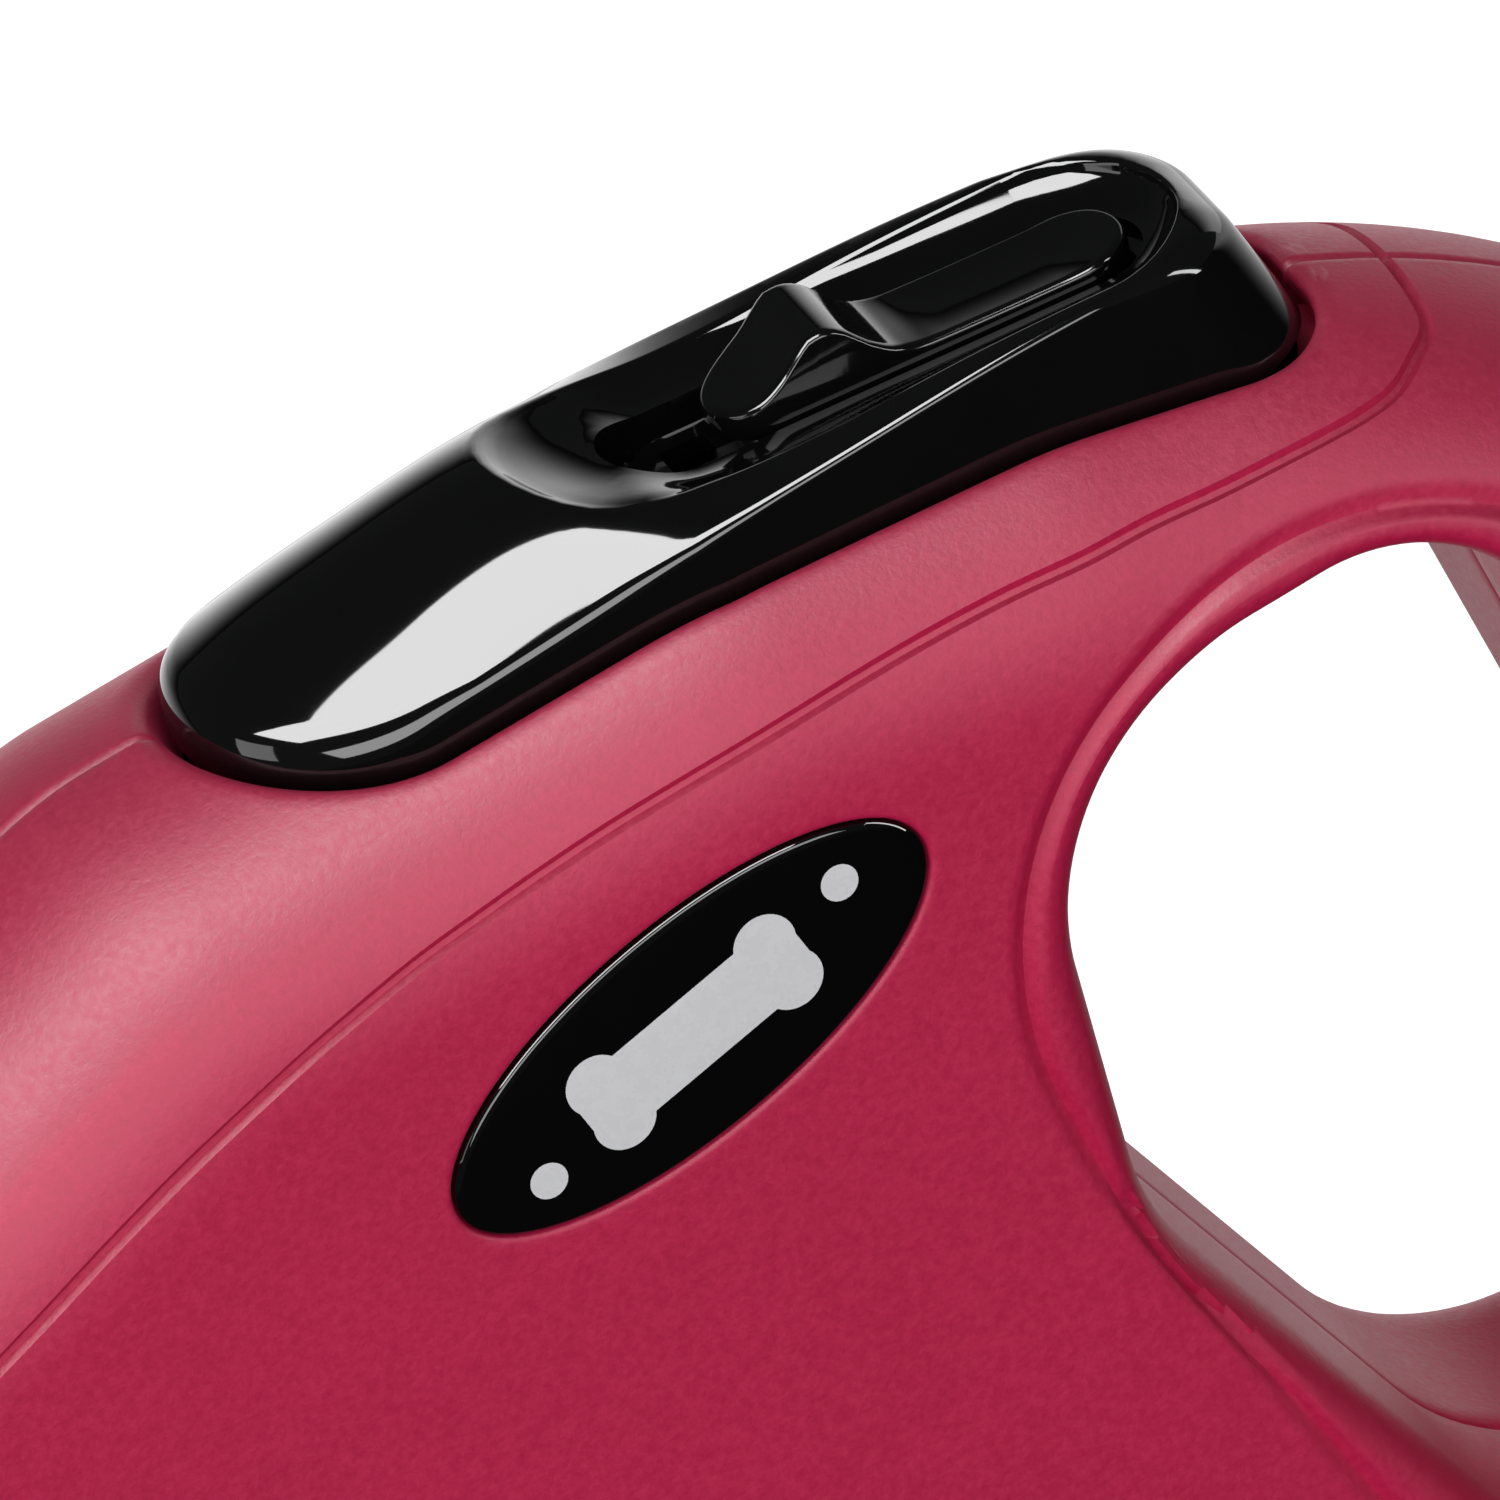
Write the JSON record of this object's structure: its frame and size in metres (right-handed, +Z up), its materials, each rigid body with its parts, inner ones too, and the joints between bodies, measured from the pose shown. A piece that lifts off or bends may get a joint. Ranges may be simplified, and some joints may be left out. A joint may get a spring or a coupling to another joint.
{
  "type": "retractable pet leash",
  "caption": "Hand-held retractable leash: red half shells with a finger-hole handle, black brake button with lock slider, oval badges, and a spring reel of tape inside.",
  "frame": {"origin": "middle of the hand grip on the parting plane of the two half shells", "axes": "+X to the back of the hand grip, -X to the nose where the tape leaves, +Z up, -Y the side of the first badge; y = 0 is the parting plane"},
  "size_m": [0.1732, 0.034, 0.1143],
  "materials": {
    "red_plastic": "satin, fine grain",
    "black_gloss": "polished",
    "screw_steel": "zinc plated",
    "button_black": "polished",
    "pin_steel": "ground",
    "spring_steel": "drawn wire",
    "slider_black": "polished",
    "inner_black": "moulded",
    "acetal": "moulded acetal",
    "tape_web": "woven nylon tape",
    "guide_black": "polished",
    "stop_black": "moulded"
  },
  "bodies": {
    "housing": {"left_shell": "red_plastic", "right_shell": "red_plastic", "left_badge": "black_gloss", "right_badge": "black_gloss", "housing_screws": "screw_steel", "button_pin": "pin_steel", "button_spring": "spring_steel", "lever_pin": "pin_steel", "lever_spring": "spring_steel", "spring_arbor": "pin_steel", "spindle": "pin_steel", "near_washer": "pin_steel", "far_washer": "pin_steel", "tape_run": "tape_web", "roller_pin": "pin_steel", "outlet_guide": "guide_black", "tape_end_stop": "stop_black"},
    "button": {"brake_button": "button_black"},
    "slider": {"lock_slider": "slider_black", "slider_keeper": "inner_black"},
    "lever": {"brake_lever": "acetal"},
    "spool": {"reel": "acetal", "ratchet_flange": "acetal", "wound_tape": "tape_web", "spring_barrel": "acetal", "mainspring": "spring_steel", "barrel_cover": "acetal"},
    "roller": {"guide_roller": "acetal"}
  },
  "joints": [
    {"name": "button_press", "type": "hinge", "parent": "housing", "child": "button", "pos_m": [-0.0585, 0, 0.049], "axis": [0, 1, 0], "range_deg": [0, 4.5], "stiffness_Nm_per_rad": 4, "springref_deg": -1.72, "deforming": ["button_spring"]},
    {"name": "slider_lock", "type": "slide", "parent": "button", "child": "slider", "axis": [-0.9455, 0, 0.3256], "range_m": [0, 0.004]},
    {"name": "lever_turn", "type": "hinge", "parent": "housing", "child": "lever", "pos_m": [-0.017, 0, 0.0369], "axis": [0, -1, 0], "range_deg": [0, 4.84], "deforming": ["lever_spring"]},
    {"name": "reel_spin", "type": "hinge", "parent": "housing", "child": "spool", "pos_m": [-0.092, 0, 0.01], "axis": [0, 1, 0], "continuous": true},
    {"name": "roller_spin", "type": "hinge", "parent": "housing", "child": "roller", "pos_m": [-0.128, 0, 0.04183], "axis": [0, 1, 0], "continuous": true}
  ],
  "couplings": [
    {"joint": "lever_turn", "follows": "button_press", "ratio": 1.075}
  ]
}
